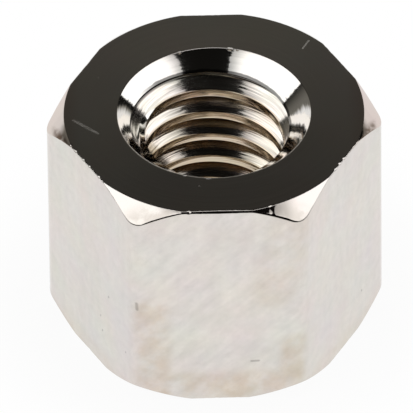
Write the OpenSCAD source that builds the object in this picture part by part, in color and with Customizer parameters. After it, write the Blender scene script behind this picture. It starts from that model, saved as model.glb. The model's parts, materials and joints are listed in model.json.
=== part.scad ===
// Short hexagonal standoff, one turned piece: a length of drawn hex bar that is faced and
// chamfered at both ends, countersunk at both mouths and tapped right through.
// Millimetres. The origin is the centre of the lower end face, +Z runs along the thread,
// and one pair of flats faces -Y and +Y.

/* [Hex bar] */
// Width across opposite flats
across_flats = 7; // [6.5:0.5:12]
// Length from end face to end face
length = 6; // [4:0.5:40]
// Radius that drawing leaves on the six upright corners
corner_r = 0.48; // [0.04:0.02:0.6]

/* [End chamfer] */
// How far the turned chamfer reaches in from each corner, square to the axis
chamfer_reach = 0.42; // [0.1:0.02:0.6]
// Angle between the chamfer and the end face
chamfer_angle = 45; // [20:5:60]

/* [Thread] */
// Nominal diameter of the thread, over its roots
thread_d = 4; // [2.5:0.5:5]
// Pitch of the thread
thread_pitch = 0.7; // [0.35:0.05:0.8]

/* [Countersink] */
// How much wider each mouth is than the thread
mouth_over = 0.6; // [0.2:0.1:1]
// Included angle of the countersink
mouth_angle = 90; // [60:10:120]

/* [Hidden] */
// A circle with this many sides is taken as a true circle
$fn = 96;
// How far a cutting shape runs past the face that it cuts
overrun = 0.5;

hex_sides = 6;
half_corner = 180 / hex_sides;
// The corner arc's centre lies this far from the axis
corner_centre = (across_flats / 2 - corner_r) / cos(half_corner);
across_corners = 2 * (corner_centre + corner_r);

// Circle that the chamfer leaves on each end face
face_d = across_corners - 2 * chamfer_reach;

// A tapped hole is drilled one pitch under the thread's nominal size
bore_d = thread_d - thread_pitch;
mouth_d = thread_d + mouth_over;
mouth_slope = tan(mouth_angle / 2);
mouth_depth = (mouth_d - bore_d) / 2 / mouth_slope;

// Section of the drawn bar: a hexagon with a small arc on each corner
module bar_section() {
    corners = [for (i = [0 : hex_sides - 1]) i * 360 / hex_sides];
    polygon([
        for (a = corners, side = [-half_corner, half_corner])
            corner_centre * [cos(a), sin(a)] + corner_r * [cos(a + side), sin(a + side)]
    ]);
    for (a = corners)
        rotate(a) translate([corner_centre, 0]) circle(corner_r);
}

// What the lathe leaves: a drum past the corners, coned down to the faced circle at each end
module turned_envelope() {
    drum_r = across_corners / 2 + overrun;
    cone_drop = (drum_r - face_d / 2) * tan(chamfer_angle);
    rotate_extrude() polygon([
        [0, 0],
        [face_d / 2, 0],
        [drum_r, cone_drop],
        [drum_r, length - cone_drop],
        [face_d / 2, length],
        [0, length]
    ]);
}

// The hole: the tapping bore, opened by a cone at each mouth
module hole() {
    past_r = mouth_d / 2 + overrun * mouth_slope;
    rotate_extrude() polygon([
        [0, -overrun],
        [past_r, -overrun],
        [bore_d / 2, mouth_depth],
        [bore_d / 2, length - mouth_depth],
        [past_r, length + overrun],
        [0, length + overrun]
    ]);
}

module standoff() {
    color("#dcd5ce") difference() {
        intersection() {
            linear_extrude(length) bar_section();
            turned_envelope();
        }
        hole();
    }
}

standoff();
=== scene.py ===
"""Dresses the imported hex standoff.

The visual mesh is made as the real piece is: a hexagonal bar is faced, chamfered and countersunk, its
edges are broken, and a tap cuts the thread. Plated finishes go on, and a plain studio and the photo's
camera complete the scene. Meshes are shaped in millimetres and scaled to metres once.
"""

import json
import logging
import math
from dataclasses import dataclass
from enum import Enum, IntEnum
from typing import ClassVar

import bmesh
import bpy
from mathutils import Matrix, Vector, noise


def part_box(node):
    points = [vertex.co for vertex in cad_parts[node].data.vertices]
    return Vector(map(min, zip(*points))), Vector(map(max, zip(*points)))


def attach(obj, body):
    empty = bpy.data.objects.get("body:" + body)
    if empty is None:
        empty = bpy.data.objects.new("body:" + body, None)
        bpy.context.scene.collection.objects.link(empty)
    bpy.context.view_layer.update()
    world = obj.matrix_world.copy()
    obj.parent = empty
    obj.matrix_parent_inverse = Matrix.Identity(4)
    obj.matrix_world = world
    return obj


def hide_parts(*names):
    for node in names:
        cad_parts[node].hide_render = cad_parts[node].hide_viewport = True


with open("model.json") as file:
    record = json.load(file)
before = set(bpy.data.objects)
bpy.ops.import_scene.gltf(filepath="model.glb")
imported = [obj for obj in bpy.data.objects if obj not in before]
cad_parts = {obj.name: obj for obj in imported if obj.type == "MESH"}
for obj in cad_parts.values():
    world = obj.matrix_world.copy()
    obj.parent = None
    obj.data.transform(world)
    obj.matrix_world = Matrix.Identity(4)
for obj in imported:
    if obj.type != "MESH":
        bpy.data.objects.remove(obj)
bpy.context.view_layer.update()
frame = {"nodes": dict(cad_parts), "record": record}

LOG = logging.getLogger("standoff")
NODE = "standoff"
BODY = "root"
THREAD_MOUNT = "thread"
MM = 0.001
HEX_SIDES = 6
# Slope of the chamfers and countersinks, and where a bend of radius 1 between one and a face begins.
SLOPE = math.pi / 4
SET_IN = math.tan(SLOPE / 2)
# Points closer than this are one, in millimetres.
WELD = 1e-4
# Share of a turn from +X to the side of the bore that the viewer sees.
FAR_SIDE = 0.25


class Zone(IntEnum):
    """Zones of the surface by how they were made. Each has its own finish, in this slot order."""

    DRAWN = 0
    TURNED = 1
    TAPPED = 2


class Stretch(Enum):
    """Stretches of the section, in the order that they run from the bore out to the wall."""

    CONE = "cone"
    LIP = "lip"
    FACE = "face"
    BREAK_FACE = "break beside the face"
    BREAK_WALL = "break beside the wall"
    WALL = "wall"


@dataclass(frozen=True)
class Station:
    """One point of the section.

    Attributes:
        stretch: Which stretch of the section it lies on.
        share: How far along that stretch it lies, from 0 to 1.
        upper: True at the upper end of the bar, False at the lower.
    """

    stretch: Stretch
    share: float
    upper: bool


@dataclass(frozen=True)
class BarSizes:
    """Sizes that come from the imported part, in millimetres.

    Attributes:
        across_flats: Width over two opposite flats.
        across_corners: Width over two opposite rounded corners.
        length: Height from end face to end face.
        face_r: Radius of the circle that the chamfer leaves on an end face.
        bore_r: Radius of the tapping bore.
        bore_length: Length of the bore between the two countersinks.
    """

    across_flats: float
    across_corners: float
    length: float
    face_r: float
    bore_r: float
    bore_length: float

    @classmethod
    def from_frame(cls, node: str, mount: str) -> "BarSizes":
        """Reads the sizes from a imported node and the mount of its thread.

        Args:
            node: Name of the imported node.
            mount: Name of the thread's mount in the record.

        Returns:
            The sizes, in millimetres.
        """
        low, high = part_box(node)
        level = 1e-6
        rim = [v.co for v in frame["nodes"][node].data.vertices if v.co.z > high.z - level]
        dims = next(m["dims"] for m in frame["record"]["mounts"] if m["name"] == mount)
        return cls(
            across_flats=(high.y - low.y) / MM,
            across_corners=2 * min(high.x, -low.x) / MM,
            length=(high.z - low.z) / MM,
            face_r=max(math.hypot(p.x, p.y) for p in rim) / MM,
            bore_r=dims["r_mm"],
            bore_length=dims["length_mm"],
        )

    @property
    def sharp_corner_r(self) -> float:
        """Distance from the axis to where two flats would meet."""
        return self.across_flats / 2 / math.cos(math.pi / HEX_SIDES)

    @property
    def corner_r(self) -> float:
        """Radius on the upright corners."""
        lost = self.sharp_corner_r - self.across_corners / 2
        return lost / (1 / math.cos(math.pi / HEX_SIDES) - 1)

    @property
    def mouth_depth(self) -> float:
        """Depth of each countersink, whose wall slopes at 45 degrees."""
        return (self.length - self.bore_length) / 2

    @property
    def mouth_r(self) -> float:
        """Radius of each countersink at the end face."""
        return self.bore_r + self.mouth_depth


@dataclass(frozen=True)
class RimStretch:
    """A stretch of the upper rim or of a lip that is rounder or more nicked than the rest.

    Attributes:
        middle: Direction of its middle about the axis, in degrees from +X.
        half_width: Half its width, in degrees.
        depth: How much it adds to the edge's radius at its middle, in millimetres.
    """

    middle: float
    half_width: float
    depth: float

    def added(self, angle: float) -> float:
        """Gives what it adds in one direction, which fades out at its ends."""
        off = abs((angle - math.radians(self.middle) + math.pi) % math.tau - math.pi)
        return self.depth * max(0.0, 1 - off / math.radians(self.half_width))


@dataclass(frozen=True)
class BrokenEdge:
    """The small radii that deburring and plating leave along both rims.

    Attributes:
        face_bend: Mean radius beside the upper end face, in millimetres.
        wall_bend: Mean radius beside the flats, below the upper end.
        lower_bend: Mean radius of both bends at the lower end.
        spread: How much the radii wander, as a share of them.
        waves: How often they wander, in waves to a millimetre.
        nick_waves: How often nicks come, in waves to a millimetre.
        nick_depth: Depth of the nicks that are found all round.
        worn: Stretches of the upper rim with deeper nicks.
        rolled: Stretches of the upper rim with a rounder bend beside the flats.
        upper_layer: Height in the noise that the upper rim is read at.
        lower_layer: Height in the noise that the lower rim is read at.
    """

    face_bend: float = 0.014
    wall_bend: float = 0.03
    lower_bend: float = 0.035
    spread: float = 0.3
    waves: float = 1.2
    nick_waves: float = 8.0
    nick_depth: float = 0.02
    worn: tuple[RimStretch, ...] = (
        RimStretch(middle=208, half_width=18, depth=0.15),
        RimStretch(middle=330, half_width=9, depth=0.13),
        RimStretch(middle=290.6, half_width=5, depth=0.1),
        RimStretch(middle=256, half_width=5, depth=0.1),
    )
    rolled: tuple[RimStretch, ...] = (
        RimStretch(middle=270, half_width=36, depth=0.12),
        RimStretch(middle=246, half_width=12, depth=0.16),
        RimStretch(middle=295, half_width=13, depth=0.2),
    )
    upper_layer: float = 11.0
    lower_layer: float = 23.0

    def bends_at(self, angle: float, rim_r: float, upper: bool) -> tuple[float, float]:
        """Gives the two radii in one direction.

        Args:
            angle: Direction about the axis, in radians.
            rim_r: Distance from the axis to the rim.
            upper: True for the upper rim.

        Returns:
            The radius beside the end face and the one beside the flat, in millimetres.
        """
        layer = self.upper_layer if upper else self.lower_layer
        rim = Vector((rim_r * math.cos(angle), rim_r * math.sin(angle), layer))
        wandered = 1 + self.spread * noise.noise(rim * self.waves)
        bite = max(0.0, noise.noise(rim * self.nick_waves))
        if not upper:
            bend = self.lower_bend * wandered + self.nick_depth * bite
            return bend, bend
        nick = bite * (self.nick_depth + sum(stretch.added(angle) for stretch in self.worn))
        rolled = sum(stretch.added(angle) for stretch in self.rolled)
        return self.face_bend * wandered + nick, self.wall_bend * wandered + rolled + nick


@dataclass(frozen=True)
class RimShape:
    """The shape of a rim in one direction, in millimetres.

    Attributes:
        face_bend: Radius of the bend beside the end face.
        wall_bend: Radius of the bend beside the flat.
        face_r: Distance from the axis to the face bend's centre, which lies one radius under the face.
        wall_r: Distance from the axis to the wall bend's centre.
        wall_depth: Depth of the wall bend's centre.
    """

    face_bend: float
    wall_bend: float
    face_r: float
    wall_r: float
    wall_depth: float


@dataclass(frozen=True)
class HexBar:
    """The bar before it is tapped.

    Attributes:
        sizes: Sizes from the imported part.
        edge: The broken edge along both rims.
        columns: Steps that the section is spun in.
        wall_rows: Rows of faces up the flats.
        face_rings: Rings of faces across each end face.
        face_margin: Width of a further ring at each edge of an end face, as a share of the face's.
        cone_rings: Rings of faces up each countersink.
        bend_steps: Steps in each half of a broken edge, and in a lip.
        crown: Slope of the upper face down from its mouth, as the facing tool leaves it, in degrees.
        lip_r: Least radius on a countersink's lip.
        lip_worn: Stretches where the lip is rounder.
        drill_under: How much less than the bore the drilled hole is, in radius, for the tap to take.
    """

    sizes: BarSizes
    edge: BrokenEdge = BrokenEdge()
    columns: int = 1080
    wall_rows: int = 4
    face_rings: int = 4
    face_margin: float = 0.02
    cone_rings: int = 4
    bend_steps: int = 5
    crown: float = 0.6
    lip_r: float = 0.016
    lip_worn: tuple[RimStretch, ...] = (
        RimStretch(middle=228, half_width=60, depth=0.055),
        RimStretch(middle=310, half_width=40, depth=0.03),
    )
    drill_under: float = 0.05

    def outline_r(self, angle: float) -> float:
        """Gives the hexagon's radius in one direction.

        Args:
            angle: Direction about the axis, in radians, from a corner.

        Returns:
            Distance from the axis to the wall.
        """
        sector = math.tau / HEX_SIDES
        off_corner = abs((angle + sector / 2) % sector - sector / 2)
        corner_r = self.sizes.corner_r
        centre = self.sizes.across_corners / 2 - corner_r
        arc_end = math.atan2(corner_r * math.sin(sector / 2), centre + corner_r * math.cos(sector / 2))
        if off_corner < arc_end:
            aside = centre * math.sin(off_corner)
            return centre * math.cos(off_corner) + math.sqrt(corner_r**2 - aside**2)
        return self.sizes.across_flats / 2 / math.cos(sector / 2 - off_corner)

    def crown_drop(self, radius: float, upper: bool) -> float:
        """Gives how far an end face has dropped at one distance from the axis. The lower one is flat."""
        slope = math.tan(math.radians(self.crown)) if upper else 0.0
        return (radius - self.sizes.mouth_r) * slope

    def lip_at(self, angle: float) -> float:
        """Gives the radius on the lip in one direction."""
        return self.lip_r + sum(stretch.added(angle) for stretch in self.lip_worn)

    def rim_at(self, angle: float, upper: bool) -> RimShape:
        """Finds the shape of the rim in one direction.

        Where the chamfer passes, the bends lie at its two edges. Elsewhere one runs on into the other.

        Args:
            angle: Direction about the axis, in radians.
            upper: True for the upper end.

        Returns:
            The rim's shape there.
        """
        wall = self.outline_r(angle)
        face_bend, wall_bend = self.edge.bends_at(angle, wall, upper)
        lost = 1 - math.cos(SLOPE)
        drop = self.crown_drop(self.sizes.face_r, upper)
        slope_top = min(self.sizes.face_r + drop, wall - lost * (face_bend + wall_bend))
        return RimShape(
            face_bend=face_bend,
            wall_bend=wall_bend,
            face_r=slope_top - SET_IN * face_bend,
            wall_r=wall - wall_bend,
            wall_depth=wall - slope_top + drop + SET_IN * wall_bend,
        )

    def place(self, station: Station, angle: float) -> Vector:
        """Puts a station in place in one direction.

        Args:
            station: The station.
            angle: Direction about the axis, in radians.

        Returns:
            The point, in millimetres.
        """
        sizes = self.sizes
        share = station.share
        rim = self.rim_at(angle, station.upper)
        lip_r = self.lip_at(angle)
        lip_centre = sizes.mouth_r + lip_r * SET_IN
        drill_r = sizes.bore_r - self.drill_under
        if station.stretch is Stretch.CONE:
            lip_start = sizes.mouth_r - lip_r * (math.sin(SLOPE) - SET_IN)
            radius = drill_r + share * (lip_start - drill_r)
            depth = sizes.mouth_r - radius
        elif station.stretch is Stretch.LIP:
            turn = SLOPE * (1 - share)
            radius = lip_centre - lip_r * math.sin(turn)
            depth = self.crown_drop(lip_centre, station.upper) + lip_r * (1 - math.cos(turn))
        elif station.stretch is Stretch.FACE:
            radius = lip_centre + share * (rim.face_r - lip_centre)
            depth = self.crown_drop(radius, station.upper)
        elif station.stretch is Stretch.BREAK_FACE:
            turn = SLOPE * share
            radius = rim.face_r + rim.face_bend * math.sin(turn)
            depth = self.crown_drop(rim.face_r, station.upper) + rim.face_bend * (1 - math.cos(turn))
        elif station.stretch is Stretch.BREAK_WALL:
            turn = SLOPE * (1 + share)
            radius = rim.wall_r + rim.wall_bend * math.sin(turn)
            depth = rim.wall_depth - rim.wall_bend * math.cos(turn)
        else:
            far_depth = sizes.length - self.rim_at(angle, not station.upper).wall_depth
            radius = rim.wall_r + rim.wall_bend
            depth = rim.wall_depth + share * (far_depth - rim.wall_depth)
        height = sizes.length - depth if station.upper else depth
        return Vector((radius * math.cos(angle), radius * math.sin(angle), height))

    def half_section(self, upper: bool) -> list[Station]:
        """Lists one end's stations, from the bore out to the wall."""
        bend = [i / self.bend_steps for i in range(self.bend_steps + 1)]
        inner_rings = [i / self.face_rings for i in range(1, self.face_rings)]
        rings = [self.face_margin, *inner_rings, 1 - self.face_margin]
        cone = [i / self.cone_rings for i in range(self.cone_rings)]
        runs = [
            (Stretch.CONE, cone),
            (Stretch.LIP, bend),
            (Stretch.FACE, rings),
            (Stretch.BREAK_FACE, bend),
            (Stretch.BREAK_WALL, bend),
        ]
        return [Station(stretch, share, upper) for stretch, shares in runs for share in shares]

    def section(self) -> list[Station]:
        """Lists the stations of the whole closed section."""
        wall = [Station(Stretch.WALL, i / self.wall_rows, True) for i in range(1, self.wall_rows)]
        return self.half_section(True) + wall + self.half_section(False)[::-1]

    def build(self) -> bmesh.types.BMesh:
        """Spins the section and moves each column out to the hexagon.

        Returns:
            The closed bar with its bore, in millimetres.
        """
        bm = bmesh.new()
        layer = bm.verts.layers.int.new("station")
        stations = self.section()
        ring = []
        for index, station in enumerate(stations):
            vert = bm.verts.new(self.place(station, 0.0))
            vert[layer] = index
            ring.append(vert)
        edges = [bm.edges.new((vert, ring[i - 1])) for i, vert in enumerate(ring)]
        bmesh.ops.spin(
            bm,
            geom=ring + edges,
            cent=(0, 0, 0),
            axis=(0, 0, 1),
            angle=math.tau,
            steps=self.columns,
            use_merge=True,
        )
        for vert in bm.verts:
            vert.co = self.place(stations[vert[layer]], math.atan2(vert.co.y, vert.co.x))
        bmesh.ops.remove_doubles(bm, verts=bm.verts, dist=WELD)
        bmesh.ops.recalc_face_normals(bm, faces=bm.faces)
        self.mark_zones(bm)
        return bm

    def mark_zones(self, bm: bmesh.types.BMesh) -> None:
        """Gives the upright walls the drawn finish and all else the turned one.

        Args:
            bm: The bar's mesh, with its normals outwards.
        """
        upright = 0.35
        for face in bm.faces:
            outside = face.calc_center_median().xy.length > self.sizes.mouth_r
            drawn = outside and abs(face.normal.z) < upright
            face.material_index = Zone.DRAWN if drawn else Zone.TURNED


@dataclass(frozen=True)
class Tap:
    """The tap that cuts the thread.

    Attributes:
        sizes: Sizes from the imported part.
        pitch: Rise of the thread in one turn.
        flank_angle: Angle of a flank to a plane square to the axis, in degrees.
        round_off: How far a corner of the thread's form is rounded along each side.
        steps: Steps in one turn.
        crest_height: Height of a crest on the far side of the bore, seen from the front flat.
        overrun: How far the tap stands out of each end.
    """

    sizes: BarSizes
    pitch: float = 0.7
    flank_angle: float = 30.0
    round_off: float = 0.014
    steps: int = 96
    crest_height: float = 3.04
    overrun: float = 0.4

    @property
    def major_r(self) -> float:
        """Radius at the bottom of the thread's groove."""
        return self.sizes.bore_r + self.pitch / 2

    def profile(self) -> list[Vector]:
        """Lists the corners of one turn's form, from crest to crest, about the groove's middle."""
        root_half = self.pitch / 16
        flank_rise = (self.major_r - self.sizes.bore_r) * math.tan(math.radians(self.flank_angle))
        lower = [
            (self.sizes.bore_r, -self.pitch / 2),
            (self.sizes.bore_r, -root_half - flank_rise),
            (self.major_r, -root_half),
        ]
        upper = [(radius, -height) for radius, height in reversed(lower)]
        return [Vector((radius, 0, height)) for radius, height in lower + upper]

    def build(self) -> bmesh.types.BMesh:
        """Sweeps the form up the helix and closes both ends.

        Returns:
            The tap as a closed mesh, in millimetres.
        """
        bm = bmesh.new()
        line = [bm.verts.new(point) for point in self.profile()]
        for low, high in zip(line, line[1:]):
            bm.edges.new((low, high))
        bmesh.ops.bevel(
            bm,
            geom=line[1:-1],
            offset=self.round_off,
            offset_type="OFFSET",
            affect="VERTICES",
            segments=3,
            profile=0.5,
            material=-1,
        )
        start = self.crest_height - self.pitch * (FAR_SIDE + 0.5)
        start -= self.pitch * math.ceil((start + self.overrun) / self.pitch + 1)
        bmesh.ops.translate(bm, verts=bm.verts, vec=(0, 0, start))
        turns = math.ceil((self.sizes.length + self.overrun - start) / self.pitch + 1)
        bmesh.ops.spin(
            bm,
            geom=bm.verts[:] + bm.edges[:],
            cent=(0, 0, 0),
            axis=(0, 0, 1),
            dvec=(0, 0, self.pitch / self.steps),
            angle=math.tau * turns,
            steps=self.steps * turns,
        )
        bmesh.ops.remove_doubles(bm, verts=bm.verts, dist=WELD)
        for height, normal in ((-self.overrun, -1), (self.sizes.length + self.overrun, 1)):
            bmesh.ops.bisect_plane(
                bm,
                geom=bm.verts[:] + bm.edges[:] + bm.faces[:],
                plane_co=(0, 0, height),
                plane_no=(0, 0, normal),
                clear_outer=True,
            )
        bmesh.ops.holes_fill(bm, edges=[e for e in bm.edges if e.is_boundary], sides=0)
        bmesh.ops.recalc_face_normals(bm, faces=bm.faces)
        for face in bm.faces:
            face.material_index = Zone.TAPPED
        return bm


Socket = bpy.types.NodeSocket
Source = Socket | float | tuple[float, ...]
Colour = tuple[float, float, float]
Point = tuple[float, float, float]
Span = tuple[float, float]


@dataclass(frozen=True)
class Graph:
    """A node tree, with short ways to add its nodes.

    Attributes:
        tree: The node tree.
    """

    tree: bpy.types.NodeTree

    def node(self, kind: str, inputs: dict[str | int, Source], **settings: object) -> bpy.types.Node:
        """Adds a node.

        Args:
            kind: The node's type.
            inputs: What each input gets, a socket to link or a value to set.
            settings: The node's own settings.

        Returns:
            The new node.
        """
        made = self.tree.nodes.new(kind)
        for name, value in settings.items():
            setattr(made, name, value)
        for key, source in inputs.items():
            if isinstance(source, Socket):
                self.tree.links.new(source, made.inputs[key])
            else:
                made.inputs[key].default_value = source
        return made

    def math(self, operation: str, first: Source, second: Source = 0.0) -> Socket:
        """Adds a Math node and gives its result."""
        return self.node("ShaderNodeMath", {0: first, 1: second}, operation=operation).outputs[0]

    def product(self, first: Source, *others: Source) -> Socket:
        """Adds the nodes that multiply several numbers and gives the result."""
        for other in others:
            first = self.math("MULTIPLY", first, other)
        return first

    def vector(self, operation: str, first: Source, second: Source) -> Socket:
        """Adds a Vector Math node and gives its vector."""
        made = self.node("ShaderNodeVectorMath", {0: first, 1: second}, operation=operation)
        return made.outputs["Vector"]

    def stretched(self, first: Source, factor: Source) -> Socket:
        """Adds a node that scales a vector or a colour and gives the result."""
        node = self.node("ShaderNodeVectorMath", {0: first, "Scale": factor}, operation="SCALE")
        return node.outputs["Vector"]

    def measure(self, operation: str, first: Source, second: Source = (0, 0, 0)) -> Socket:
        """Adds a Vector Math node and gives its number, such as a length."""
        made = self.node("ShaderNodeVectorMath", {0: first, 1: second}, operation=operation)
        return made.outputs["Value"]

    def radius(self, position: Source) -> Socket:
        """Adds nodes that give a place's distance from the axis."""
        return self.measure("LENGTH", self.vector("MULTIPLY", position, (1, 1, 0)))

    def axis(self, position: Source, name: str) -> Socket:
        """Adds a node that gives one coordinate of a place."""
        return self.node("ShaderNodeSeparateXYZ", {0: position}).outputs[name]

    def fade(self, value: Source, start: Source, end: Source) -> Socket:
        """Adds a smooth fade that is 0 at start and 1 at end."""
        inputs = {"Value": value, "From Min": start, "From Max": end}
        return self.node("ShaderNodeMapRange", inputs, interpolation_type="SMOOTHSTEP").outputs[0]

    def spread(self, value: Source, low: float, high: float) -> Socket:
        """Adds a node that spreads a value from 0 to 1 out over low to high."""
        inputs = {"Value": value, "To Min": low, "To Max": high}
        return self.node("ShaderNodeMapRange", inputs).outputs[0]

    def noise(self, position: Source, scale: Source, detail: float) -> bpy.types.Node:
        """Adds a Noise node."""
        return self.node("ShaderNodeTexNoise", {"Vector": position, "Scale": scale, "Detail": detail})

    def drawn_out(self, position: Source, turn: Point, length: Point) -> Socket:
        """Draws a pattern out by a length along each axis and then turns it, in degrees."""
        inputs = {
            "Vector": position,
            "Rotation": tuple(math.radians(angle) for angle in turn),
            "Scale": length,
        }
        return self.node("ShaderNodeMapping", inputs, vector_type="TEXTURE").outputs[0]

    def blend(self, share: Source, first: Source, second: Source, mode: str = "MIX") -> Socket:
        """Adds a node that blends two colours."""
        settings = {"data_type": "RGBA", "blend_type": mode}
        return self.node("ShaderNodeMix", {0: share, 6: first, 7: second}, **settings).outputs[2]


class Effect:
    """An effect that several finishes share: a node group that is built once and placed in each."""

    title: ClassVar[str]
    takes: ClassVar[dict[str, str]]
    gives: ClassVar[tuple[str, str]]

    @classmethod
    def wire(cls, graph: Graph, given: bpy.types.NodeOutputs) -> Socket:
        """Wires the group's inside, from what it is given to its one result."""
        raise NotImplementedError

    @classmethod
    def group(cls) -> bpy.types.NodeTree:
        """Finds the node group, or builds it the first time.

        Returns:
            The node group.
        """
        found = bpy.data.node_groups.get(cls.title)
        if found:
            return found
        tree = bpy.data.node_groups.new(cls.title, "ShaderNodeTree")
        for name, kind in cls.takes.items():
            tree.interface.new_socket(name, in_out="INPUT", socket_type=kind)
        tree.interface.new_socket(cls.gives[0], in_out="OUTPUT", socket_type=cls.gives[1])
        start = tree.nodes.new("NodeGroupInput")
        end = tree.nodes.new("NodeGroupOutput")
        tree.links.new(cls.wire(Graph(tree), start.outputs), end.inputs[0])
        return tree

    @classmethod
    def place(cls, graph: Graph, **values: Source) -> Socket:
        """Places the effect in a finish.

        Args:
            graph: The finish's nodes.
            values: What each of the group's inputs gets, by its name in small letters.

        Returns:
            The effect's result.
        """
        inputs = {name.capitalize(): value for name, value in values.items()}
        return graph.node("ShaderNodeGroup", inputs, node_tree=cls.group()).outputs[0]


class Mottle(Effect):
    """Faint clouds in the plate, each a little warmer, pinker or greyer than the next."""

    title = "plate_mottle"
    takes = {
        "Position": "NodeSocketVector",
        "Tone": "NodeSocketColor",
        "Scale": "NodeSocketFloat",
        "Strength": "NodeSocketFloat",
    }
    gives = ("Colour", "NodeSocketColor")

    @classmethod
    def wire(cls, graph: Graph, given: bpy.types.NodeOutputs) -> Socket:
        """Shifts each colour of the tone by a noise of its own."""
        mean = (0.5, 0.5, 0.5)
        clouds = graph.noise(given["Position"], given["Scale"], detail=3.0).outputs["Color"]
        shift = graph.stretched(graph.vector("SUBTRACT", clouds, mean), given["Strength"])
        return graph.vector("MULTIPLY", given["Tone"], graph.vector("ADD", shift, (1, 1, 1)))


class TurningMarks(Effect):
    """Fine rings about the axis, as a lathe tool or a tap leaves them."""

    title = "turning_marks"
    takes = {"Position": "NodeSocketVector", "Fineness": "NodeSocketFloat"}
    gives = ("Height", "NodeSocketFloat")

    @classmethod
    def wire(cls, graph: Graph, given: bpy.types.NodeOutputs) -> Socket:
        """Takes a noise of the distance from the axis and the height, which changes little round a ring."""
        drift = 0.25
        axes = graph.node("ShaderNodeSeparateXYZ", {0: given["Position"]})
        radius = graph.product(graph.radius(given["Position"]), given["Fineness"])
        height = graph.product(axes.outputs["Z"], given["Fineness"])
        along = graph.product(graph.math("ADD", axes.outputs["X"], axes.outputs["Y"]), drift)
        rings = graph.node("ShaderNodeCombineXYZ", {"X": radius, "Y": height, "Z": along}).outputs[0]
        return graph.noise(rings, scale=1.0, detail=2.0).outputs["Fac"]


class Specks(Effect):
    """Scattered small round marks."""

    title = "specks"
    takes = {
        "Position": "NodeSocketVector",
        "Scale": "NodeSocketFloat",
        "Share": "NodeSocketFloat",
        "Size": "NodeSocketFloat",
    }
    gives = ("Mask", "NodeSocketFloat")

    @classmethod
    def wire(cls, graph: Graph, given: bpy.types.NodeOutputs) -> Socket:
        """Puts a dot in a share of the cells of a scatter."""
        full_share = 0.4
        cells = graph.node("ShaderNodeTexVoronoi", {"Vector": given["Position"], "Scale": given["Scale"]})
        dot = graph.fade(cells.outputs["Distance"], given["Size"], graph.product(given["Size"], full_share))
        draw = graph.node("ShaderNodeSeparateColor", {0: cells.outputs["Color"]}).outputs[0]
        return graph.product(dot, graph.math("LESS_THAN", draw, given["Share"]))


class Scratch(Effect):
    """One straight scratch between two points of the surface."""

    title = "scratch"
    takes = {
        "Position": "NodeSocketVector",
        "Start": "NodeSocketVector",
        "End": "NodeSocketVector",
        "Width": "NodeSocketFloat",
    }
    gives = ("Mask", "NodeSocketFloat")

    @classmethod
    def wire(cls, graph: Graph, given: bpy.types.NodeOutputs) -> Socket:
        """Fades with the distance from the line between the two points."""
        full_share = 0.3
        run = graph.vector("SUBTRACT", given["End"], given["Start"])
        reach = graph.vector("SUBTRACT", given["Position"], given["Start"])
        along = graph.math(
            "DIVIDE", graph.measure("DOT_PRODUCT", reach, run), graph.measure("DOT_PRODUCT", run, run)
        )
        share = graph.node("ShaderNodeClamp", {"Value": along}).outputs[0]
        off = graph.vector("SUBTRACT", reach, graph.stretched(run, share))
        full_width = graph.product(given["Width"], full_share)
        return graph.fade(graph.measure("LENGTH", off), given["Width"], full_width)


RIGHT = (1, 0, 0)
BACK = (0, 1, 0)
UP = (0, 0, 1)
# Directions that the two flats beside the front one face.
BESIDE_FRONT = ((-0.866, -0.5, 0), (0.866, -0.5, 0))


class Pattern:
    """Something that lies on part of a surface."""

    def mask(self, graph: Graph, position: Source) -> Socket:
        """Gives its mask, which is 1 where it lies and 0 elsewhere.

        Args:
            graph: The finish's nodes.
            position: Object coordinates, in millimetres.

        Returns:
            The mask.
        """
        raise NotImplementedError


@dataclass(frozen=True)
class Mark(Pattern):
    """A straight mark: a scratch, a tick, a discoloured patch, a band of painted shade or a burr.

    Attributes:
        start: One end, in millimetres.
        end: The other end, in millimetres.
        width: Half its width, in millimetres.
        strength: How strong it is, from 0 to 1.
    """

    start: Point
    end: Point
    width: float
    strength: float = 1.0

    def mask(self, graph: Graph, position: Source) -> Socket:
        """Gives the mark's mask."""
        mask = Scratch.place(graph, position=position, start=self.start, end=self.end, width=self.width)
        return graph.product(mask, self.strength)


@dataclass(frozen=True)
class Bound(Pattern):
    """One side of a boundary, which fades in across it.

    Attributes:
        start: Where the fade starts, in millimetres.
        end: Where it ends.
        facing: Direction that these are measured in, or None for the distance from the axis.
        both: True if the opposite direction counts as well.
        origin: Place that these are measured from.
    """

    start: float
    end: float
    facing: Point | None = None
    both: bool = False
    origin: float = 0.0

    def mask(self, graph: Graph, position: Source) -> Socket:
        """Gives the mask of the boundary's far side."""
        if self.facing is None:
            return graph.fade(graph.radius(position), self.start, self.end)
        off = graph.math("SUBTRACT", graph.measure("DOT_PRODUCT", position, self.facing), self.origin)
        if self.both:
            off = graph.math("ABSOLUTE", off)
        return graph.fade(off, self.start, self.end)


@dataclass(frozen=True)
class Clouds(Pattern):
    """Clouds of noise.

    Attributes:
        scale: How many there are to a millimetre, before they are drawn out.
        detail: How finely they are broken up.
        reach: Levels of the noise between which their mask fades in.
        swing: How much brighter and darker they make a tone, as a share of it.
        turn: Turn of the way that they are drawn out, in degrees about each axis.
        length: How far they are drawn out along each axis.
    """

    scale: float
    detail: float
    reach: Span = (0.0, 1.0)
    swing: float = 0.0
    turn: Point = (0, 0, 0)
    length: Point = (1, 1, 1)

    def level(self, graph: Graph, position: Source) -> Socket:
        """Gives the noise itself, which is about 0.5 on average."""
        drawn = graph.drawn_out(position, self.turn, self.length)
        return graph.noise(drawn, self.scale, self.detail).outputs["Fac"]

    def mask(self, graph: Graph, position: Source) -> Socket:
        """Gives the mask of the clouds."""
        return graph.fade(self.level(graph, position), *self.reach)

    def shade(self, graph: Graph, level: Source, tone: Source) -> Socket:
        """Makes a tone brighter and darker by the noise."""
        return graph.stretched(tone, graph.spread(level, 1 - self.swing, 1 + self.swing))


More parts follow.
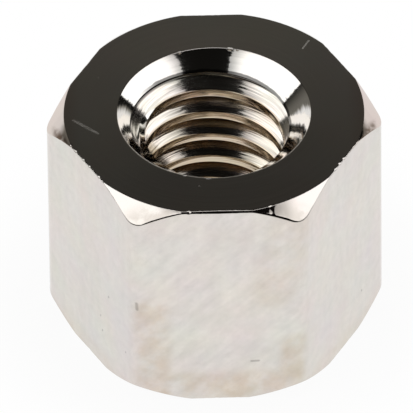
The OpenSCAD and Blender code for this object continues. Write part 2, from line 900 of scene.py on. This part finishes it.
@dataclass(frozen=True)
class RolledEdge(Pattern):
    """The rolled edge along the thread's run-out in the upper countersink.

    Attributes:
        radius: Distance from the axis on the far side, in millimetres.
        rise: How much that grows in one turn to the left.
        width: Width of the edge.
        core: Share of the width where the mask is full.
        wander: Clouds that the edge wanders with.
        above: Height that it lies above.
        left_end: Shares of a turn from +X between which it fades in from its left end.
    """

    radius: float
    rise: float
    width: float
    core: float
    wander: Clouds
    above: float
    left_end: Span

    def mask(self, graph: Graph, position: Source) -> Socket:
        """Gives the mask of the edge."""
        radians = graph.math("ARCTAN2", graph.axis(position, "Y"), graph.axis(position, "X"))
        turn = graph.math("DIVIDE", radians, math.tau)
        wander = graph.product(self.wander.level(graph, position), self.width)
        edge = graph.product(graph.math("SUBTRACT", turn, FAR_SIDE), self.rise)
        edge = graph.math("ADD", graph.math("ADD", edge, self.radius), wander)
        off = graph.math("SUBTRACT", graph.radius(position), edge)
        band = graph.fade(off, self.width, self.core * self.width)
        upper = graph.math("GREATER_THAN", graph.axis(position, "Z"), self.above)
        return graph.product(band, graph.fade(turn, *self.left_end), upper)


@dataclass(frozen=True)
class AllOf(Pattern):
    """Where several patterns overlap.

    Attributes:
        parts: The patterns.
    """

    parts: tuple[Pattern, ...]

    def mask(self, graph: Graph, position: Source) -> Socket:
        """Multiplies the patterns' masks."""
        return graph.product(*(part.mask(graph, position) for part in self.parts))


@dataclass(frozen=True)
class AnyOf(Pattern):
    """Where at least one of several patterns lies.

    Attributes:
        parts: The patterns.
    """

    parts: tuple[Pattern, ...]

    def mask(self, graph: Graph, position: Source) -> Socket:
        """Takes the greatest of the patterns' masks."""
        mask, *others = (part.mask(graph, position) for part in self.parts)
        for other in others:
            mask = graph.math("MAXIMUM", mask, other)
        return mask


@dataclass(frozen=True)
class Look:
    """What a finish feeds to the shader.

    Attributes:
        tone: The colour.
        rough: The roughness.
        height: Height of the surface, in steps of the relief.
        relief: One step of that height, in millimetres.
    """

    tone: Socket
    rough: Socket
    height: Socket
    relief: float


@dataclass(frozen=True)
class Finish:
    """A bright nickel plate.

    Attributes:
        name: Name of the material.
        tone: Colour that the plate gives back, linear.
        roughness: Least roughness.
        haze: How much the roughness rises in the haziest places.
    """

    name: str
    tone: Colour
    roughness: float
    haze: float

    def material(self) -> bpy.types.Material:
        """Makes the material.

        Returns:
            The new material.
        """
        material = bpy.data.materials.new(self.name)
        material.use_nodes = True
        shader = material.node_tree.nodes["Principled BSDF"]
        shader.inputs["Metallic"].default_value = 1
        graph = Graph(material.node_tree)
        place = graph.node("ShaderNodeTexCoord", {}).outputs["Object"]
        look = self.dress(graph, graph.stretched(place, 1 / MM))
        relief = {"Height": look.height, "Distance": look.relief * MM, "Strength": 1.0}
        bump = graph.node("ShaderNodeBump", relief).outputs[0]
        for name, source in (("Base Color", look.tone), ("Roughness", look.rough), ("Normal", bump)):
            graph.tree.links.new(source, shader.inputs[name])
        return material

    def dress(self, graph: Graph, position: Socket) -> Look:
        """Wires the finish.

        Args:
            graph: The material's nodes.
            position: Object coordinates, in millimetres.

        Returns:
            What goes into the shader.
        """
        raise NotImplementedError

    def hazed(self, graph: Graph, clouds: Source) -> Socket:
        """Gives the roughness, which is most where the clouds are."""
        return graph.spread(clouds, self.roughness, self.roughness + self.haze)


@dataclass(frozen=True)
class DrawnFinish(Finish):
    """Plate on the drawn flats: drawing lines, slanting rub marks, discoloured patches, painted shade low
    down, dots and ticks.

    Attributes:
        front: The front and back flats.
        side_tone: Brightness of the other flats, as a share of the front and back ones'.
        rub: The rub marks on the front and back flats.
        grain: The grain of the plate.
        lines: The drawing lines.
        line_relief: Height of the drawing lines, in millimetres.
        stain_and_shade_tone: Colour of the discoloured patches and of the painted shade low down, as a
            share of the plate's.
        stains_and_shade: Where the discoloured patches lie, and a band of painted shade along the bottom of
            the front flat.
        rim: Where painted shade runs all along the lower rim, for the floor's contact shadow that the flats
            mirror.
        low_rim_shade: How strong that painted shade is, from 0 to 1.
        stain_and_shade_clouds: What gives the patches and the painted shade cloudy edges.
        dot_tone: Brightness of the dots and ticks, as a share of the plate's.
        ticks: The ticks.
    """

    front: Pattern
    side_tone: float
    rub: Clouds
    grain: Clouds
    lines: Clouds
    line_relief: float
    stain_and_shade_tone: Colour
    stains_and_shade: Pattern
    rim: Pattern
    low_rim_shade: float
    stain_and_shade_clouds: Clouds
    dot_tone: float
    ticks: Pattern

    def dress(self, graph: Graph, position: Socket) -> Look:
        """Wires the finish. See the base class."""
        tone = Mottle.place(graph, position=position, tone=(*self.tone, 1), scale=0.9, strength=0.12)
        rub = self.rub.level(graph, position)
        lines = self.lines.level(graph, position)
        side = graph.stretched(tone, self.side_tone)
        tone = graph.blend(self.front.mask(graph, position), side, self.rub.shade(graph, rub, tone))
        tone = self.grain.shade(graph, self.grain.level(graph, position), tone)
        tone = self.lines.shade(graph, lines, tone)
        # Painted shade: the lower rim and a band at the bottom of the front flat are darkened with the
        # patches' colour, for the floor's contact shadow that the flats mirror.
        low = graph.product(self.rim.mask(graph, position), self.low_rim_shade)
        stain_and_shade_mask = graph.math("MAXIMUM", low, self.stains_and_shade.mask(graph, position))
        stain_and_shade_mask = graph.product(stain_and_shade_mask, self.stain_and_shade_clouds.mask(graph, position))
        tone = graph.blend(stain_and_shade_mask, tone, (*self.stain_and_shade_tone, 1), mode="MULTIPLY")
        dots = Specks.place(graph, position=position, scale=0.9, share=0.05, size=0.05)
        dots = graph.math("MAXIMUM", dots, self.ticks.mask(graph, position))
        tone = graph.stretched(tone, graph.spread(dots, 1.0, self.dot_tone))
        return Look(tone, self.hazed(graph, rub), lines, self.line_relief)


@dataclass(frozen=True)
class TurnedFinish(Finish):
    """Plate on the faces, chamfers and countersinks: fine rings, light scratches, and scuffed chamfers with
    painted shade.

    Where the thread runs out into the upper countersink, the edge between them is rolled over, and a band
    along it is painted dark as painted shade.

    Attributes:
        mouth: The countersinks.
        mouth_tone: Colour that they give back, linear.
        haze_clouds: Clouds of haze.
        scratches: The scratches.
        scratch_roughness: Roughness in a scratch.
        scuffs_and_shade: Cloudy patches on the two front chamfers, towards the front flat: partly real
            scuffing, partly painted shade.
        scuff_and_shade_tone: Their colour.
        sides: The side chamfers.
        side_chamfer_shade: Their painted shade, a colour that the plate's is multiplied by.
        feet: Where the side chamfers' feet meet the flats beside the front one, painted near black as
            painted shade.
        foot_shade: Colour of that painted shade.
        burrs: Small burrs on the countersink's lip.
        burr_height: How far a burr stands out, in millimetres.
        ring_heights: Height of the tool's rings on a face and in a mouth, in millimetres.
        run_out: The rolled edge.
        run_out_shade: Its painted shade, as a share of the plate's brightness.
    """

    mouth: Pattern
    mouth_tone: Colour
    haze_clouds: Clouds
    scratches: Pattern
    scratch_roughness: float
    scuffs_and_shade: Pattern
    scuff_and_shade_tone: Colour
    sides: Pattern
    side_chamfer_shade: Colour
    feet: Pattern
    foot_shade: Colour
    burrs: Pattern
    burr_height: float
    ring_heights: Span
    run_out: RolledEdge
    run_out_shade: float

    def dress(self, graph: Graph, position: Socket) -> Look:
        """Wires the finish. See the base class."""
        in_mouth = self.mouth.mask(graph, position)
        tone = graph.blend(in_mouth, (*self.tone, 1), (*self.mouth_tone, 1))
        tone = Mottle.place(graph, position=position, tone=tone, scale=0.7, strength=0.1)
        # Painted shade: the front chamfers darker towards the front flat, in cloudy patches that also stand
        # for scuffing.
        tone = graph.blend(self.scuffs_and_shade.mask(graph, position), tone, (*self.scuff_and_shade_tone, 1))
        # Painted shade: the side chamfers tinted darker and pinker, for what they mirror.
        tone = graph.blend(self.sides.mask(graph, position), tone, (*self.side_chamfer_shade, 1), mode="MULTIPLY")
        # Painted shade: a near-black band where the side chamfers meet the flats beside the front one.
        tone = graph.blend(self.feet.mask(graph, position), tone, (*self.foot_shade, 1))
        # Painted shade: a dark band along the rolled edge of the thread's run-out.
        run_out_shading = graph.spread(self.run_out.mask(graph, position), 1.0, self.run_out_shade)
        tone = graph.stretched(tone, run_out_shading)
        haze = self.hazed(graph, self.haze_clouds.mask(graph, position))
        dust = Specks.place(graph, position=position, scale=2.2, share=0.1, size=0.06)
        marks = graph.math("MAXIMUM", dust, self.scratches.mask(graph, position))
        rough = graph.math("MAXIMUM", haze, graph.product(marks, self.scratch_roughness))
        rings = TurningMarks.place(graph, position=position, fineness=9.0)
        ring_height = graph.product(rings, graph.spread(in_mouth, *self.ring_heights))
        burr_height = graph.product(self.burrs.mask(graph, position), self.burr_height)
        return Look(tone, rough, graph.math("ADD", ring_height, burr_height), relief=1.0)


@dataclass(frozen=True)
class TappedFinish(Finish):
    """Plate in the thread, streaked, with painted shade that makes it darker and browner deep in the bore,
    in the groove's bottom and on the crests.

    Attributes:
        deep: The thread's middle, away from the mouths.
        depth_shade_tone: Colour of the flanks there, painted darker and browner as painted shade.
        roots: The groove's bottom.
        root_shade_tones: Its painted shade, dark brown colours near a mouth and in the middle.
        crests: The crests.
        crest: Their painted shade, a colour that the flanks' is multiplied by.
        run_out: The groove's bottom in the upper mouth.
        run_out_shade: Its painted shade, as a share of the plate's brightness.
        streaks: Least and most brightness of the tap's streaks, as a share of the plate's.
        streak_reach: Levels of the tap's marks between which the streaks fade in.
        haze_clouds: Clouds of haze.
        mark_relief: Height of the tap's marks, in millimetres.
    """

    deep: Pattern
    depth_shade_tone: Colour
    roots: Pattern
    root_shade_tones: tuple[Colour, Colour]
    crests: Pattern
    crest: Colour
    run_out: Pattern
    run_out_shade: float
    streaks: Span
    streak_reach: Span
    haze_clouds: Clouds
    mark_relief: float

    def dress(self, graph: Graph, position: Socket) -> Look:
        """Wires the finish. See the base class."""
        deep = self.deep.mask(graph, position)
        # Painted shade: the thread darker and browner away from the mouths.
        tone = graph.blend(deep, (*self.tone, 1), (*self.depth_shade_tone, 1))
        # Painted shade: the crests browner than the flanks.
        tone = graph.blend(self.crests.mask(graph, position), tone, (*self.crest, 1), mode="MULTIPLY")
        # Painted shade: the groove's bottom dark brown, darkest near a mouth.
        root_shade_tone = graph.blend(deep, *((*colour, 1) for colour in self.root_shade_tones))
        tone = graph.blend(self.roots.mask(graph, position), tone, root_shade_tone)
        # Painted shade: the groove's bottom darkened where the thread runs out into the upper mouth.
        run_out_shading = graph.spread(self.run_out.mask(graph, position), 1.0, self.run_out_shade)
        tone = graph.stretched(tone, run_out_shading)
        tone = Mottle.place(graph, position=position, tone=tone, scale=1.4, strength=0.16)
        fine = TurningMarks.place(graph, position=position, fineness=17.0)
        lines = graph.fade(fine, *self.streak_reach)
        tone = graph.stretched(tone, graph.spread(lines, *self.streaks))
        haze = self.hazed(graph, self.haze_clouds.level(graph, position))
        marks = TurningMarks.place(graph, position=position, fineness=10.0)
        return Look(tone, haze, marks, self.mark_relief)


NICKEL = (0.712, 0.672, 0.632)
MOUTH_NICKEL = (0.8, 0.75, 0.68)
# Painted shade: the thread's colour deep in the bore.
DEPTH_SHADE_NICKEL = (0.7, 0.63, 0.55)
FACE_SCRATCHES = (
    Mark(start=(-3.33, -0.16, 5.98), end=(-2.77, -0.64, 5.99), width=0.075, strength=0.75),
    Mark(start=(2.16, 2.21, 5.99), end=(2.32, 2.5, 5.98), width=0.04),
)
FLAT_TICKS = (
    Mark(start=(-1.94, -3.46, 3.08), end=(-1.93, -3.46, 2.9), width=0.06, strength=0.8),
    Mark(start=(0.77, -3.5, 1.19), end=(0.94, -3.5, 1.2), width=0.045, strength=0.8),
    Mark(start=(-2.59, -2.52, 2.46), end=(-2.59, -2.52, 2.44), width=0.035),
    Mark(start=(-2.78, -2.18, 1.57), end=(-2.78, -2.18, 1.55), width=0.03),
    Mark(start=(-2.74, -2.25, 1.15), end=(-2.74, -2.25, 1.13), width=0.035),
    Mark(start=(-2.21, -3.17, 1.27), end=(-2.21, -3.17, 1.25), width=0.03),
    Mark(start=(2.04, -3.47, 2.71), end=(2.04, -3.47, 2.69), width=0.03),
    Mark(start=(3.46, -1.01, 1.11), end=(3.46, -1.01, 1.09), width=0.035),
)
FLAT_STAINS_AND_SHADE = (
    Mark(start=(-1.62, -3.5, 2.8), end=(-1.55, -3.5, 0.7), width=0.6),
    Mark(start=(1.78, -3.5, 1.7), end=(1.72, -3.5, 0.6), width=0.45),
    # Painted shade, not a real mark: the floor's contact shadow mirrored low on the front flat.
    Mark(start=(-1.3, -3.5, 0.4), end=(1.5, -3.5, 0.35), width=0.7),
    Mark(start=(1.3, -3.5, 3.5), end=(1.8, -3.5, 5.3), width=0.8, strength=0.5),
)
LIP_BURRS = (
    Mark(start=(-0.77, 2.15, 6.0), end=(-0.74, 2.16, 6.0), width=0.04),
    Mark(start=(0.41, 2.25, 6.0), end=(0.46, 2.24, 6.0), width=0.05),
    Mark(start=(0.6, 2.2, 6.0), end=(0.62, 2.2, 6.0), width=0.03),
    Mark(start=(-0.75, -2.17, 6.0), end=(-0.72, -2.18, 6.0), width=0.04),
    Mark(start=(-0.2, -2.3, 6.0), end=(-0.15, -2.3, 6.0), width=0.04),
)
# Where the front chamfers are scuffed and carry painted shade towards the front flat.
CHAMFER_SCUFFS_AND_SHADE = (
    Bound(start=-3.0, end=-3.4, facing=BACK),
    Bound(start=3.5, end=3.6),
    Clouds(scale=3.0, detail=3.0, reach=(0.3, 0.6)),
)
# Where painted shade darkens the side chamfers' feet.
CHAMFER_FOOT_SHADE = (
    AnyOf(tuple(Bound(start=3.3, end=3.46, facing=facing) for facing in BESIDE_FRONT)),
    Bound(start=-2.2, end=-1.8, facing=BACK),
    Bound(start=3.56, end=3.64),
    Bound(start=3.88, end=3.76),
    Clouds(scale=4.0, detail=3.0, reach=(0.25, 0.58)),
)
# Height of the thread's middle, in millimetres.
THREAD_MIDDLE = 3.0
THREAD_ROOTS = (
    Bound(start=2.2, end=1.7, facing=UP, both=True, origin=THREAD_MIDDLE),
    Bound(start=1.8, end=1.98),
)
FINISHES = {
    Zone.DRAWN: DrawnFinish(
        name="nickel_on_drawn_flats",
        tone=NICKEL,
        roughness=0.1,
        haze=0.08,
        front=Bound(start=3.3, end=3.45, facing=BACK, both=True),
        side_tone=0.97,
        rub=Clouds(scale=4.2, detail=3.0, swing=0.13, turn=(0, -47, 0), length=(3.4, 1.0, 0.9)),
        grain=Clouds(scale=5.0, detail=4.0, swing=0.08),
        lines=Clouds(scale=5.0, detail=3.0, swing=0.04, length=(1, 1, 12)),
        line_relief=0.0015,
        stain_and_shade_tone=(0.905, 0.835, 0.755),
        stains_and_shade=AnyOf(FLAT_STAINS_AND_SHADE),
        # Painted shade along the lower rim of every flat.
        rim=Bound(start=0.7, end=0.1, facing=UP),
        low_rim_shade=0.6,
        stain_and_shade_clouds=Clouds(scale=2.2, detail=4.0, reach=(0.2, 0.7)),
        dot_tone=0.6,
        ticks=AnyOf(FLAT_TICKS),
    ),
    Zone.TURNED: TurnedFinish(
        name="nickel_on_turned_faces",
        tone=NICKEL,
        roughness=0.045,
        haze=0.035,
        mouth=Bound(start=2.33, end=2.25),
        mouth_tone=(0.77, 0.745, 0.71),
        haze_clouds=Clouds(scale=0.6, detail=2.0, reach=(0.3, 0.7)),
        scratches=AnyOf(FACE_SCRATCHES),
        scratch_roughness=0.3,
        scuffs_and_shade=AllOf(CHAMFER_SCUFFS_AND_SHADE),
        scuff_and_shade_tone=(0.56, 0.515, 0.47),
        sides=Bound(start=3.1, end=3.5, facing=RIGHT, both=True),
        side_chamfer_shade=(0.95, 0.885, 0.87),
        feet=AllOf(CHAMFER_FOOT_SHADE),
        foot_shade=(0.14, 0.095, 0.065),
        burrs=AnyOf(LIP_BURRS),
        burr_height=0.05,
        ring_heights=(0.0003, 0.002),
        run_out=RolledEdge(
            radius=1.895,
            rise=0.444,
            width=0.04,
            core=0.4,
            wander=Clouds(scale=5.0, detail=2.0),
            above=THREAD_MIDDLE,
            left_end=(0.43, 0.36),
        ),
        run_out_shade=0.25,
    ),
    Zone.TAPPED: TappedFinish(
        name="nickel_in_tapped_thread",
        tone=MOUTH_NICKEL,
        roughness=0.07,
        haze=0.09,
        deep=Bound(start=2.3, end=0.0, facing=UP, both=True, origin=THREAD_MIDDLE),
        depth_shade_tone=DEPTH_SHADE_NICKEL,
        roots=AllOf(THREAD_ROOTS),
        # Painted shade in the groove's bottom.
        root_shade_tones=((0.27, 0.19, 0.11), (0.44, 0.32, 0.19)),
        crests=Bound(start=1.69, end=1.67),
        # Painted shade on the crests.
        crest=(0.88, 0.81, 0.71),
        run_out=AllOf((Bound(start=5.1, end=5.2, facing=UP), Bound(start=1.94, end=1.98))),
        run_out_shade=0.25,
        streaks=(0.74, 1.06),
        streak_reach=(0.35, 0.65),
        haze_clouds=Clouds(scale=1.5, detail=3.0),
        mark_relief=0.009,
    ),
}


@dataclass(frozen=True)
class Standoff:
    """The whole standoff: the bar, tapped and plated.

    Attributes:
        bar: The bar before tapping.
        tap: The tap.
        sharp_angle: Edges turned more than this are drawn sharp, in degrees.
    """

    bar: HexBar
    tap: Tap
    sharp_angle: float = 28.0

    def build(self) -> bpy.types.Object:
        """Shapes the piece, dresses it and puts it in the frame.

        Returns:
            The finished piece.
        """
        piece = as_object("hex_standoff", self.bar.build())
        tap = as_object("tap", self.tap.build())
        finishes = [FINISHES[zone].material() for zone in Zone]
        for cut_or_cutter in (piece, tap):
            for finish in finishes:
                cut_or_cutter.data.materials.append(finish)
        cut_with(piece, tap)
        mesh = piece.data
        mesh.transform(Matrix.Scale(MM, 4))
        mesh.shade_smooth()
        mesh.set_sharp_from_angle(angle=math.radians(self.sharp_angle))
        weights = piece.modifiers.new("flat faces stay flat", "WEIGHTED_NORMAL")
        weights.keep_sharp = True
        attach(piece, BODY)
        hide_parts(NODE)
        return piece


def as_object(name: str, bm: bmesh.types.BMesh) -> bpy.types.Object:
    """Turns a finished bmesh into an object of the scene.

    Args:
        name: Name of the object and its mesh.
        bm: The mesh, which is freed.

    Returns:
        The new object, at the origin.
    """
    mesh = bpy.data.meshes.new(name)
    bm.to_mesh(mesh)
    bm.free()
    made = bpy.data.objects.new(name, mesh)
    bpy.context.scene.collection.objects.link(made)
    return made


def cut_with(piece: bpy.types.Object, cutter: bpy.types.Object) -> None:
    """Cuts one object with another, which is used up.

    Args:
        piece: The object to cut.
        cutter: The closed object that cuts it.
    """
    cut = piece.modifiers.new("cut", "BOOLEAN")
    cut.operation = "DIFFERENCE"
    cut.solver = "EXACT"
    cut.object = cutter
    graph = bpy.context.evaluated_depsgraph_get()
    result = bpy.data.meshes.new_from_object(piece.evaluated_get(graph))
    piece.modifiers.clear()
    piece.data = result
    bpy.data.objects.remove(cutter)


@dataclass(frozen=True)
class Softbox:
    """A flat soft light, dimmer along its upper edge.

    Attributes:
        name: Name of the light.
        side: Angle of its middle from the viewer's side, in degrees, to the right if positive.
        height: Angle of its middle above the floor, in degrees.
        distance: Distance of its middle from the standoff, in metres.
        back_side: Direction that its back faces, as an angle from the viewer's side, in degrees.
        back_height: How far its back faces upwards, in degrees.
        width: Width of the panel, in metres.
        rise: Height of the panel, in metres.
        level: Brightness of the panel's face, where white paper in full light is 1.
        edge_level: Brightness along its upper edge.
        soft: Share of its rise over which the brightness grows from that edge.
    """

    name: str
    side: float
    height: float
    distance: float
    back_side: float
    back_height: float
    width: float
    rise: float
    level: float
    edge_level: float
    soft: float

    def build(self, aim: Vector) -> bpy.types.Object:
        """Hangs the light.

        Args:
            aim: The standoff's middle.

        Returns:
            The new light.
        """
        lamp = bpy.data.lights.new(self.name, "AREA")
        lamp.shape = "RECTANGLE"
        lamp.size = self.width
        lamp.size_y = self.rise
        lamp.energy = self.level * math.pi * self.width * self.rise
        lamp.use_nodes = True
        graph = Graph(lamp.node_tree)
        on_panel = graph.node("ShaderNodeNewGeometry", {}).outputs["Parametric"]
        growth = graph.fade(graph.axis(on_panel, "Y"), 1.0, 1.0 - self.soft)
        strength = graph.spread(growth, self.edge_level / self.level, 1.0)
        graph.tree.links.new(strength, lamp.node_tree.nodes["Emission"].inputs["Strength"])
        light = bpy.data.objects.new(self.name, lamp)
        bpy.context.scene.collection.objects.link(light)
        light.location = aim + self.distance * direction(self.side, self.height)
        back = direction(self.back_side, self.back_height)
        light.rotation_euler = back.to_track_quat("Z", "Y").to_euler()
        light.visible_camera = False
        return light


LEFT_SOFTBOX = Softbox(
    name="left_softbox",
    side=-51.0,
    height=38.4,
    distance=0.563,
    back_side=-85.4,
    back_height=45,
    width=0.972,
    rise=0.425,
    level=1.5,
    edge_level=0.6,
    soft=0.36,
)
TOP_SOFTBOX = Softbox(
    name="top_softbox",
    side=155.7,
    height=72.4,
    distance=0.525,
    back_side=180,
    back_height=89.9,
    width=0.45,
    rise=0.44,
    level=1.35,
    edge_level=1.35,
    soft=0.1,
)
RIGHT_SOFTBOX = Softbox(
    name="right_softbox",
    side=68.3,
    height=31.5,
    distance=0.643,
    back_side=95.4,
    back_height=45,
    width=1.068,
    rise=0.465,
    level=1.5,
    edge_level=0.7,
    soft=0.28,
)


def direction(side: float, height: float) -> Vector:
    """Gives the direction from the standoff to a place round it.

    Args:
        side: Angle from the viewer's side, in degrees, to the right if positive.
        height: Angle above the floor, in degrees.

    Returns:
        A vector of length 1.
    """
    turn = math.radians(side)
    up = math.radians(height)
    return Vector((math.sin(turn) * math.cos(up), -math.cos(turn) * math.cos(up), math.sin(up)))


@dataclass(frozen=True)
class Studio:
    """A plain studio: a pale floor, a dim room and soft lights.

    Attributes:
        softboxes: The lights.
        floor_size: Half the width of the floor, in metres.
        floor_tone: Colour of the floor.
        floor_white: Share of the floor round the standoff that is plain white to the viewer and in
            reflections. The rest is paint, which takes the standoff's shadow.
        shadow_reach: Distances from the axis between which the paint gives way to plain white, in metres.
        room_level: Brightness of the dim room.
        room_tone: Colour of the room's light.
        wall_glow: Brightness of the far wall, low down.
        wall_turn: What a step to the right adds to how far back a direction points, for the far wall.
        wall_reach: How far back directions point between which the wall's glow comes in.
        wall_rise: How far up directions point between which it comes in.
        horizon_white: Brightness along the floor's far edge.
        horizon_reach: How far back directions point between which that edge comes in.
        horizon_rise: How far up directions point between which it comes in.
        white_reach: Brightnesses between which the room's light turns white.
    """

    softboxes: tuple[Softbox, ...]
    floor_size: float = 3.0
    floor_tone: float = 0.9
    floor_white: float = 0.94
    shadow_reach: Span = (0.004, 0.0075)
    room_level: float = 0.006
    room_tone: Colour = (1.0, 0.96, 0.85)
    wall_glow: float = 0.165
    wall_turn: float = -0.2
    wall_reach: Span = (0.45, 0.75)
    wall_rise: Span = (0.76, 0.5)
    horizon_white: float = 0.96
    horizon_reach: Span = (0.3, 0.5)
    horizon_rise: Span = (0.18, 0.07)
    white_reach: Span = (0.2, 0.6)

    def build(self, aim: Vector) -> None:
        """Builds the floor, the room and the lights.

        Args:
            aim: The standoff's middle.
        """
        self.floor()
        self.room()
        for softbox in self.softboxes:
            softbox.build(aim)

    def floor(self) -> None:
        """Lays the floor that the standoff stands on."""
        bm = bmesh.new()
        bmesh.ops.create_grid(bm, x_segments=1, y_segments=1, size=self.floor_size)
        floor = as_object("floor", bm)
        material = bpy.data.materials.new("pale_floor")
        material.use_nodes = True
        graph = Graph(material.node_tree)
        graph.tree.nodes.clear()
        place = graph.node("ShaderNodeTexCoord", {}).outputs["Object"]
        away = graph.fade(graph.measure("LENGTH", place), *self.shadow_reach)
        share = graph.product(seen_or_mirrored(graph), graph.spread(away, self.floor_white, 1.0))
        paint = graph.node("ShaderNodeBsdfDiffuse", {"Color": (*[self.floor_tone] * 3, 1)})
        white = graph.node("ShaderNodeEmission", {"Strength": 1.0})
        mix = graph.node("ShaderNodeMixShader", {0: share, 1: paint.outputs[0], 2: white.outputs[0]})
        graph.node("ShaderNodeOutputMaterial", {"Surface": mix.outputs[0]})
        floor.data.materials.append(material)

    def room(self) -> None:
        """Fills the room with dim light, and gives the viewer a white background."""
        world = bpy.data.worlds.new("room")
        bpy.context.scene.world = world
        world.use_nodes = True
        graph = Graph(world.node_tree)
        graph.tree.nodes.clear()
        toward = graph.node("ShaderNodeTexCoord", {}).outputs["Generated"]
        aside, back, up = (graph.axis(toward, name) for name in "XYZ")
        behind = graph.math("ADD", back, graph.product(aside, self.wall_turn))
        wall = graph.product(graph.fade(behind, *self.wall_reach), graph.fade(up, *self.wall_rise))
        horizon = graph.product(graph.fade(back, *self.horizon_reach), graph.fade(up, *self.horizon_rise))
        glow = graph.math("ADD", graph.product(wall, self.wall_glow), self.room_level)
        level = graph.math("MAXIMUM", glow, graph.product(horizon, self.horizon_white))
        path = graph.node("ShaderNodeLightPath", {})
        seen = graph.math("MAXIMUM", path.outputs["Is Camera Ray"], level)
        tone = graph.blend(graph.fade(seen, *self.white_reach), (*self.room_tone, 1), (1, 1, 1, 1))
        dim = graph.node("ShaderNodeBackground", {"Color": tone, "Strength": seen})
        graph.node("ShaderNodeOutputWorld", {"Surface": dim.outputs[0]})


def seen_or_mirrored(graph: Graph) -> Socket:
    """Adds a mask that is 1 where a surface is seen, mirrored or seen through glass.

    Args:
        graph: The stage material's nodes.

    Returns:
        The mask.
    """
    path = graph.node("ShaderNodeLightPath", {})
    mirrored = graph.math("MAXIMUM", path.outputs["Is Glossy Ray"], path.outputs["Is Transmission Ray"])
    return graph.math("MAXIMUM", path.outputs["Is Camera Ray"], mirrored)


@dataclass(frozen=True)
class PhotoCamera:
    """The photo's camera, far off with a long lens.

    Attributes:
        side: Angle from the front flat, in degrees, to the right if positive.
        height: Angle above the floor, in degrees.
        roll: Turn of the camera about its own axis, in degrees, counter-clockwise if positive.
        distance: Distance from the standoff's middle, in metres.
        image: Width of the square picture, in pixels.
        scale: Pixels to a millimetre at the standoff's middle.
        middle: Where the standoff's middle lies in the picture, in pixels from its upper left.
    """

    side: float = -0.92
    height: float = 42.32
    roll: float = -0.65
    distance: float = 0.417
    image: int = 413
    scale: float = 42.0
    middle: Span = (214.95, 206.1)

    def build(self, aim: Vector) -> bpy.types.Object:
        """Sets up the camera and makes it the scene's own.

        Args:
            aim: The standoff's middle.

        Returns:
            The camera.
        """
        lens = bpy.data.cameras.new("photo_camera")
        width = self.image / self.scale * MM
        lens.lens = lens.sensor_width * self.distance / width
        lens.clip_start = 0.01
        lens.clip_end = 100.0
        camera = bpy.data.objects.new("photo_camera", lens)
        bpy.context.scene.collection.objects.link(camera)
        back = direction(self.side, self.height)
        turn = back.to_track_quat("Z", "Y").to_matrix() @ Matrix.Rotation(math.radians(self.roll), 3, "Z")
        off_x = (self.image / 2 - self.middle[0]) / self.scale * MM
        off_y = (self.middle[1] - self.image / 2) / self.scale * MM
        place = aim + back * self.distance + turn @ Vector((off_x, off_y, 0))
        camera.matrix_world = Matrix.Translation(place) @ turn.to_4x4()
        bpy.context.scene.camera = camera
        return camera


def main() -> None:
    """Builds the standoff, the studio and the camera."""
    logging.basicConfig(level=logging.INFO, format="%(name)s: %(message)s")
    bpy.context.scene.view_settings.view_transform = "Standard"
    sizes = BarSizes.from_frame(NODE, THREAD_MOUNT)
    aim = Vector((0, 0, sizes.length / 2 * MM))
    PhotoCamera().build(aim)
    piece = Standoff(HexBar(sizes), Tap(sizes)).build()
    LOG.info("%s has %d faces", piece.name, len(piece.data.polygons))
    softboxes = (LEFT_SOFTBOX, RIGHT_SOFTBOX, TOP_SOFTBOX)
    Studio(softboxes).build(aim)
    LOG.info("studio is lit by %s", ", ".join(softbox.name for softbox in softboxes))


if __name__ == "__main__":
    main()
